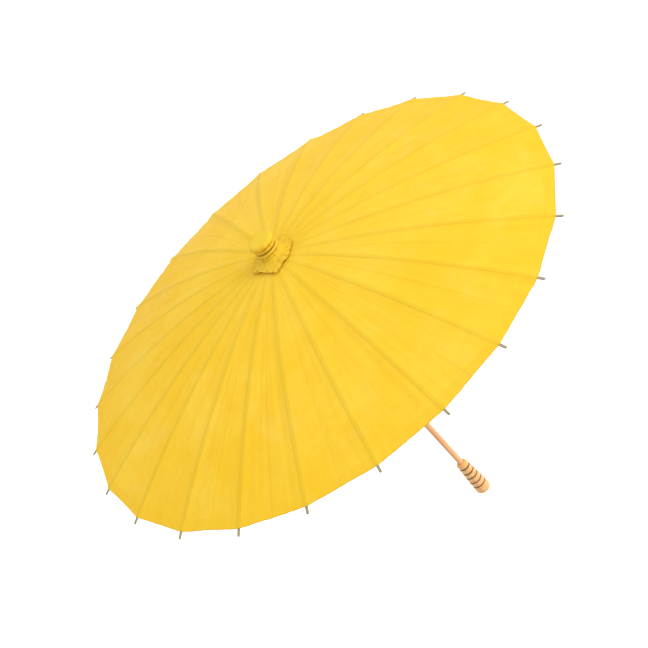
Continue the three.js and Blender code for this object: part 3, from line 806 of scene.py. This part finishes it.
def rib_mesh():
    """A rib along X with its eye, and a window and a pin hole for its stretcher."""
    eye = HEAD_PIVOT_RADIUS - RIB_EYE_RADIUS * np.cos(np.linspace(0.1, math.pi / 2, 6))
    round_ring = np.array([-2.4, -1.2, -0.5, 0.5, 1.2, 2.4])
    ring_stations = np.concatenate([place + round_ring for place in RIB_RINGS])
    plain = np.concatenate([np.linspace(18, 404, 86), [404.8, 405.5, TIP_RADIUS]])
    stations = np.unique(np.round(np.concatenate([eye, plain, ring_stations]), 3))
    points, faces, shares = bar(stations, rib_section, RIB_RINGS)
    mesh = mesh_of("rib", points, faces, BAMBOO, 45, {"ring": shares})
    return carve(mesh, [
        cross_cylinder(HEAD_PIVOT_RADIUS, HEAD_PIVOT_HEIGHT, EYE_HOLE_RADIUS, CUT_LENGTH),
        long_hole(JOINT_RADIUS - 8, JOINT_RADIUS + 20, width=2.1, z_from=560, z_to=600),
        cross_cylinder(JOINT_RADIUS, JOINT_HEIGHT, JOINT_HOLE_RADIUS, CUT_LENGTH),
    ])


LOWER_EYE_RADIUS = 1.6
UPPER_EYE_RADIUS = 1.5
STRETCHER_SHOULDER = STRETCHER_LENGTH - 17  # where it narrows to fit the window in its rib
STRETCHER_RING = 79
# Half a stretcher's width, at these places along it.
STRETCHER_WIDTH_PLACES = (-2, 13, 22, STRETCHER_SHOULDER - 2, STRETCHER_SHOULDER, 165)
STRETCHER_HALVES = (1.0, 1.0, 1.6, 1.6, 0.75, 0.75)
# Its under side and its top, at these places along it.
STRETCHER_PLACES = (0, 14, 60, STRETCHER_SHOULDER, STRETCHER_LENGTH - 8, STRETCHER_LENGTH)
STRETCHER_LOWS = (-LOWER_EYE_RADIUS, -1.4, 0.46, 0.9, -0.9, -UPPER_EYE_RADIUS)
STRETCHER_HIGHS = (LOWER_EYE_RADIUS, 1.5, 3.06, 3.5, 2.5, UPPER_EYE_RADIUS)


def stretcher_section(x, swell):
    """The outline across a stretcher at a distance x from its lower eye."""
    half = float(np.interp(x, STRETCHER_WIDTH_PLACES, STRETCHER_HALVES)) + swell
    low = float(np.interp(x, STRETCHER_PLACES, STRETCHER_LOWS))
    high = float(np.interp(x, STRETCHER_PLACES, STRETCHER_HIGHS))
    if x < 0:
        high = math.sqrt(max(0.04, LOWER_EYE_RADIUS ** 2 - x * x))
        low = -high
    if x > STRETCHER_LENGTH:
        high = math.sqrt(max(0.04, UPPER_EYE_RADIUS ** 2 - (x - STRETCHER_LENGTH) ** 2))
        low = -high
    return bar_section(half, low - swell * 0.5, high + swell * 0.5, 0.4)


def stretcher_mesh():
    """A stretcher made along X from its lower eye, then leant to stand from the runner to the rib."""
    lower_eye = -LOWER_EYE_RADIUS * np.cos(np.linspace(0.1, math.pi / 2, 5))
    upper_eye = STRETCHER_LENGTH + UPPER_EYE_RADIUS * np.sin(np.linspace(0, math.pi / 2 - 0.1, 5))
    plain = np.linspace(3, STRETCHER_LENGTH - 3, 46)
    bends = STRETCHER_WIDTH_PLACES[1:-1]
    round_ring = STRETCHER_RING + np.array([-2.2, -1, -0.5, 0.5, 1, 2.2])
    stations = np.concatenate([lower_eye, upper_eye, plain, bends, round_ring])
    stations = np.unique(np.round(stations, 3))
    points, faces, shares = bar(stations, stretcher_section, [STRETCHER_RING])
    mesh = mesh_of("stretcher", points, faces, STRETCHER_BAMBOO, 45, {"ring": shares})
    mesh = carve(mesh, [cross_cylinder(0, 0, EYE_HOLE_RADIUS, CUT_LENGTH)])
    tilt = Matrix.Rotation(STRETCHER_LEAN - math.pi / 2, 4, "Y")
    foot = Matrix.Translation(Vector((RUNNER_PIVOT_RADIUS, 0, RUNNER_PIVOT_HEIGHT)) * MM)
    mesh.transform(foot @ tilt)
    return mesh


rib = rib_mesh()
stretcher = stretcher_mesh()
pin_points, pin_faces = cross_cylinder(JOINT_RADIUS, JOINT_HEIGHT, JOINT_PIN_RADIUS, length=4.2)
joint_pin = mesh_of("joint_pin", pin_points, pin_faces, THREAD)
for number in range(1, RIB_COUNT + 1):
    turn = (number - 1) * RIB_STEP
    label = f"{number:02d}"
    put(f"bamboo_rib_{label}", rib, f"rib_{label}", turn, [f"rib_{label}"])
    put(
        f"bamboo_stretcher_{label}", stretcher, f"stretcher_{label}", turn,
        [f"stretcher_{label}"],
    )
    put(f"joint_pin_{label}", joint_pin, f"stretcher_{label}", turn)


# ---------------------------------------------------------------- head, runner and wires


SLOT_FLARE = 0.012  # how much wider than the slot's floor its place is on uncut rings, as an angle
SLOT_LIP = 0.014  # the angle between a slot's wall and the next points beside it


def slotted(profile, core_radius, slot_half, z_low, z_high):
    """A turned body with one radial slot for each rib, its floor at the core radius."""
    points = []
    floor = math.asin(slot_half / core_radius)
    for radius, height in profile:
        cut = z_low < height < z_high and radius > core_radius
        wall = math.asin(slot_half / radius) if cut else floor + SLOT_FLARE
        inner = core_radius if cut else radius
        for number in range(RIB_COUNT):
            centre = number * RIB_STEP
            around = (
                (-floor, inner), (0, inner), (floor, inner), (wall, radius), (wall + SLOT_LIP, radius),
                (RIB_STEP / 2, radius), (RIB_STEP - wall - SLOT_LIP, radius), (RIB_STEP - wall, radius),
            )
            for off, r in around:
                points.append((r * math.cos(centre + off), r * math.sin(centre + off), height))
    return points, skin_faces(len(profile), RIB_COUNT * len(around), loop=True)


def burn_near(points, heights, half_width):
    """Scorched share on points near each of some heights."""
    z = np.asarray(points, float).reshape(-1, 3)[:, 2]
    away = np.min([np.abs(z - h) for h in heights], axis=0)
    return np.clip(1.3 - away / half_width, 0, 1)


def head_mesh():
    """The hub on top: a collar, a slotted flange for the ribs, and a barrel that fills the cap."""
    ledge = HEAD_PIVOT_HEIGHT - 0.8
    top = HEAD_PIVOT_HEIGHT + 1.2
    profile = rounded([
        (5.3, 572), (9, 572), (11.5, 574), (11.5, 578), (17, 580), (18, 582), (18, ledge), (14.7, ledge),
        (14.7, top), (11.5, top), (11.5, 598.5), (15, 601), (15, 620), (18, 623), (18, 627.5),
        (16.5, 629), (AXIS, 629), (AXIS, 602.3), (5.3, 602.3),
    ], 0.6)
    points, faces = slotted(profile, core_radius=12.9, slot_half=1.35, z_low=577, z_high=596.6)
    burn = burn_near(points, (586,), 0.5)
    return mesh_of("head", points, faces, TURNED_WOOD, 40, {"burn": burn})


def runner_mesh():
    """The sliding hub: a long waist, with a slotted flange for the stretchers on top."""
    low = RUNNER_BOTTOM
    flange = RUNNER_PIVOT_HEIGHT - 6
    ledge = RUNNER_PIVOT_HEIGHT - 0.8
    profile = rounded([
        (5.4, low), (9.4, low), (9.4, low + 4), (8.2, low + 6), (8.2, low + 20), (7.8, low + 21),
        (8.2, low + 22), (8.2, flange - 8), (11, flange - 3), (16.2, flange), (17.2, flange + 1.5),
        (17.2, ledge), (13.7, ledge), (13.7, RUNNER_PIVOT_HEIGHT + 1.6), (10.8, RUNNER_TOP),
        (5.4, RUNNER_TOP),
    ], 0.6)
    points, faces = slotted(
        profile, core_radius=11.8, slot_half=1.3, z_low=flange - 2, z_high=RUNNER_TOP + 1,
    )
    burn = burn_near(points, (low + 21,), 0.5)
    return mesh_of("runner", points, faces, TURNED_WOOD, 40, {"burn": burn})


put("turned_head", head_mesh(), "frame", replaces=["head"])
put("turned_runner", runner_mesh(), "runner", replaces=["runner"])
WIRE_RADIUS = 0.5
points, faces = ring(HEAD_PIVOT_RADIUS, HEAD_PIVOT_HEIGHT, WIRE_RADIUS)
put("head_ring", mesh_of("head_ring", points, faces, WIRE), "frame", replaces=["head_wire"])
points, faces = ring(RUNNER_PIVOT_RADIUS, RUNNER_PIVOT_HEIGHT, WIRE_RADIUS)
put("runner_ring", mesh_of("runner_ring", points, faces, WIRE), "runner", replaces=["runner_wire"])


# ---------------------------------------------------------------- shaft, grip and small metal parts

GRIP_GROOVES = (19, 30.5, 42.5, 54, 66)
GRIP_LENGTH = 76
GRIP_WIDEST = 13.2
GRIP_LOW_RADIUS = 13.4
GRIP_HIGH_RADIUS = 10.3
GRIP_BORE = 5.3
SHAFT_RADIUS = 5
SHAFT_FOOT = 20
SHAFT_TOP = 602


def grip_radius(height):
    """Radius of the plain taper under the beads, from the grip's foot to its last groove."""
    share = height / GRIP_GROOVES[-1]
    return GRIP_LOW_RADIUS + (GRIP_HIGH_RADIUS - GRIP_LOW_RADIUS) * share ** 1.3


def grip_mesh():
    """Five burnt grooves between swelling beads, with a rounded end below and a shoulder above."""
    profile = [(AXIS, 0), (6, 0), (10, 0.05), (11.3, 0.6), (12.2, 1.5), (12.8, 2.8), (13.1, 4.4)]
    profile.append((GRIP_WIDEST, 6))
    for height in np.arange(7, 70, 0.35):
        nearest = min(GRIP_GROOVES, key=lambda groove: abs(height - groove))
        away = abs(height - nearest)
        dip = 1.1 * math.exp(-((away / 0.8) ** 2)) + 0.9 * math.exp(-((away / 2.6) ** 2))
        profile.append((min(GRIP_WIDEST, grip_radius(height)) - dip, height))
    profile += [(10.0, 70.6), (9.8, 71.8), (9.4, 73), (8.8, 74), (8.0, 74.9), (7.1, 75.5), (6.2, 75.9)]
    profile += [(GRIP_BORE, GRIP_LENGTH), (GRIP_BORE, SHAFT_FOOT - 0.3), (AXIS, SHAFT_FOOT - 0.3)]
    points, faces = lathe(profile, 72)
    burn = burn_near(points, GRIP_GROOVES, 1.8)
    outside = np.linalg.norm(points.reshape(-1, 3)[:, :2], axis=1) > 6.5
    return mesh_of("grip", points, faces, GRIP_WOOD, 45, {"burn": burn * outside})


CATCH_LENGTH = 33.5
CATCH_BOTTOM = RUNNER_BOTTOM - 0.3 - CATCH_LENGTH


def shaft_mesh():
    """A dowel with bevelled ends that is not quite even, slotted for the catch."""
    profile = [(AXIS, SHAFT_FOOT), (4.2, SHAFT_FOOT), (4.75, 20.3), (SHAFT_RADIUS, 20.9)]
    for height in np.linspace(26, 596, 96):
        uneven = 0.04 * noise.noise(Vector((0, height * 0.02, 4)))
        profile.append((SHAFT_RADIUS + uneven, height))
    profile += [(SHAFT_RADIUS, 601.1), (4.75, 601.7), (4.2, SHAFT_TOP), (AXIS, SHAFT_TOP)]
    points, faces = lathe(profile, 48)
    mesh = mesh_of("shaft", points, faces, SHAFT_WOOD, 45)
    slot_points, slot_faces = long_hole(-1.8, 6.4, 2.3, CATCH_BOTTOM - 1, CATCH_BOTTOM + 34.5)
    # A quarter turn, because the catch faces -Y.
    turned = np.asarray(slot_points) @ np.array([[0, -1, 0], [1, 0, 0], [0, 0, 1]])
    return carve(mesh, [(turned, slot_faces)])


def domed_pin(radius, length, sides=32):
    """A pin along X with rounded ends, centred on the origin."""
    half = length / 2
    profile = []
    for t in np.linspace(0, math.pi / 2, 5):
        profile.append((max(AXIS, radius * math.sin(t)), -half + 0.4 * radius * (1 - math.cos(t))))
    profile += [(r, -z) for r, z in reversed(profile)]
    points, faces = lathe(profile, sides)
    return points.reshape(-1, 3)[:, [2, 0, 1]], faces


put("grip_body", grip_mesh(), "frame", replaces=["grip"])
put("shaft_body", shaft_mesh(), "frame", replaces=["shaft"])
for node, radius, length in (("stop_pin", 1, 15), ("catch_pin", 0.8, 8.8)):
    low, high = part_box(node)
    points, faces = domed_pin(radius, length)
    points = points + np.array((low + high) / 2 / MM)
    put(f"{node}_steel", mesh_of(node, points, faces, STEEL), "frame", replaces=[node])

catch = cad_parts["catch"]
catch.data.materials.clear()
catch.data.materials.append(STEEL)
bevel = catch.modifiers.new("edge", "BEVEL")
bevel.width = 0.25 * MM
bevel.segments = 2
bevel.limit_method = "ANGLE"


# ---------------------------------------------------------------- floor, light and camera

# These are in metres.
FLOOR_REACH = 20
FLOOR_HEIGHT = -0.6


def stage_floor():
    """A pale floor below that glows a little. Diffuse light on the umbrella takes no account of it."""
    mesh = bpy.data.meshes.new("floor")
    ways = ((-1, -1), (1, -1), (1, 1), (-1, 1))
    corners = [(x * FLOOR_REACH, y * FLOOR_REACH, FLOOR_HEIGHT) for x, y in ways]
    mesh.from_pydata(corners, [], [(0, 1, 2, 3)])
    floor = bpy.data.objects.new("floor", mesh)
    bpy.context.scene.collection.objects.link(floor)
    look = Look("pale_floor")
    shader = look.principled(
        Base_Color=(0.7, 0.7, 0.7, 1), Roughness=0.9, Specular_IOR_Level=0.0,
        Emission_Color=(1, 1, 1, 1), Emission_Strength=0.8,
    )
    mesh.materials.append(look.finish(shader.outputs[0]))
    floor.visible_diffuse = False


def area_light(name, place, aim, size, power):
    """A white disk of light."""
    light = bpy.data.lights.new(name, "AREA")
    light.shape = "DISK"
    light.size = size
    light.energy = power
    lamp = bpy.data.objects.new(name, light)
    bpy.context.scene.collection.objects.link(lamp)
    lamp.location = place
    lamp.rotation_euler = (Vector(aim) - Vector(place)).to_track_quat("-Z", "Y").to_euler()


def studio_world():
    """White surroundings that grow darker towards the ground."""
    world = bpy.data.worlds.new("studio")
    world.use_nodes = True
    tree = world.node_tree
    toward = tree.nodes.new("ShaderNodeTexCoord").outputs["Generated"]
    facing = tree.nodes.new("ShaderNodeVectorMath")
    facing.operation = "DOT_PRODUCT"
    tree.links.new(toward, facing.inputs[0])
    facing.inputs[1].default_value = Vector((0.15, -0.1, 0.98)).normalized()
    strength = tree.nodes.new("ShaderNodeMapRange")
    strength.interpolation_type = "SMOOTHSTEP"
    for key, value in (("From Min", -0.5), ("From Max", 0.3), ("To Min", 0.3), ("To Max", 0.95)):
        strength.inputs[key].default_value = value
    tree.links.new(facing.outputs["Value"], strength.inputs["Value"])
    tree.nodes["Background"].inputs["Color"].default_value = (1, 1, 1, 1)
    tree.links.new(strength.outputs[0], tree.nodes["Background"].inputs["Strength"])
    return world


stage_floor()
area_light("key", (2.0, -1.9, 2.5), (0, 0, 0.5), 2.0, 36)
area_light("side", (2.3, -2.6, -0.1), (0, 0, 0.2), 1.0, 42)

scene = bpy.context.scene
scene.world = studio_world()
scene.view_settings.view_transform = "Standard"

CAMERA_LENS = 71.5
CAMERA_SENSOR = 36
CAMERA_AIM = Vector((-0.01152, 0.00386, 0.45336))
CAMERA_DISTANCE = 1.8823
CAMERA_FORWARD = Vector((0.26538, 0.79227, -0.54944))
CAMERA_UP = Vector((0.76921, 0.16961, 0.61608))
camera_data = bpy.data.cameras.new("camera")
camera_data.lens = CAMERA_LENS
camera_data.sensor_width = CAMERA_SENSOR
camera_data.clip_start = 0.05
camera_data.clip_end = 60
camera = bpy.data.objects.new("camera", camera_data)
scene.collection.objects.link(camera)
back = -CAMERA_FORWARD.normalized()
right = CAMERA_UP.cross(back).normalized()
upward = back.cross(right)
camera.matrix_world = Matrix.Translation(CAMERA_AIM + back * CAMERA_DISTANCE) @ Matrix(
    (right, upward, back)
).transposed().to_4x4()
scene.camera = camera
